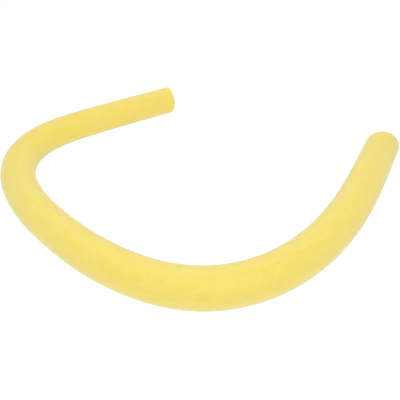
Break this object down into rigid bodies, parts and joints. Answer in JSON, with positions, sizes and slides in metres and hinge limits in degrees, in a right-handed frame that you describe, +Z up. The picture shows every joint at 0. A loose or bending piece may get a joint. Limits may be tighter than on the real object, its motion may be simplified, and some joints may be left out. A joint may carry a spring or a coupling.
{
  "type": "pool noodle",
  "caption": "Foam pool noodle, a long round tube of closed-cell foam with a bore, bent into a loose hook and lying flat; it keeps a swimmer afloat.",
  "frame": {"origin": "on the floor, under the middle of the bent noodle's box, in the open space that it goes round", "axes": "+Z up; the noodle lies flat in X and Y, its bend is at -X and -Y, and both cut ends face towards +X and +Y. The picture looks along +Y and down"},
  "size_m": [0.8382, 0.6402, 0.065],
  "materials": {
    "yellow_foam": "satin foam skin"
  },
  "bodies": {
    "root": {"foam_noodle": "yellow_foam"}
  },
  "joints": []
}
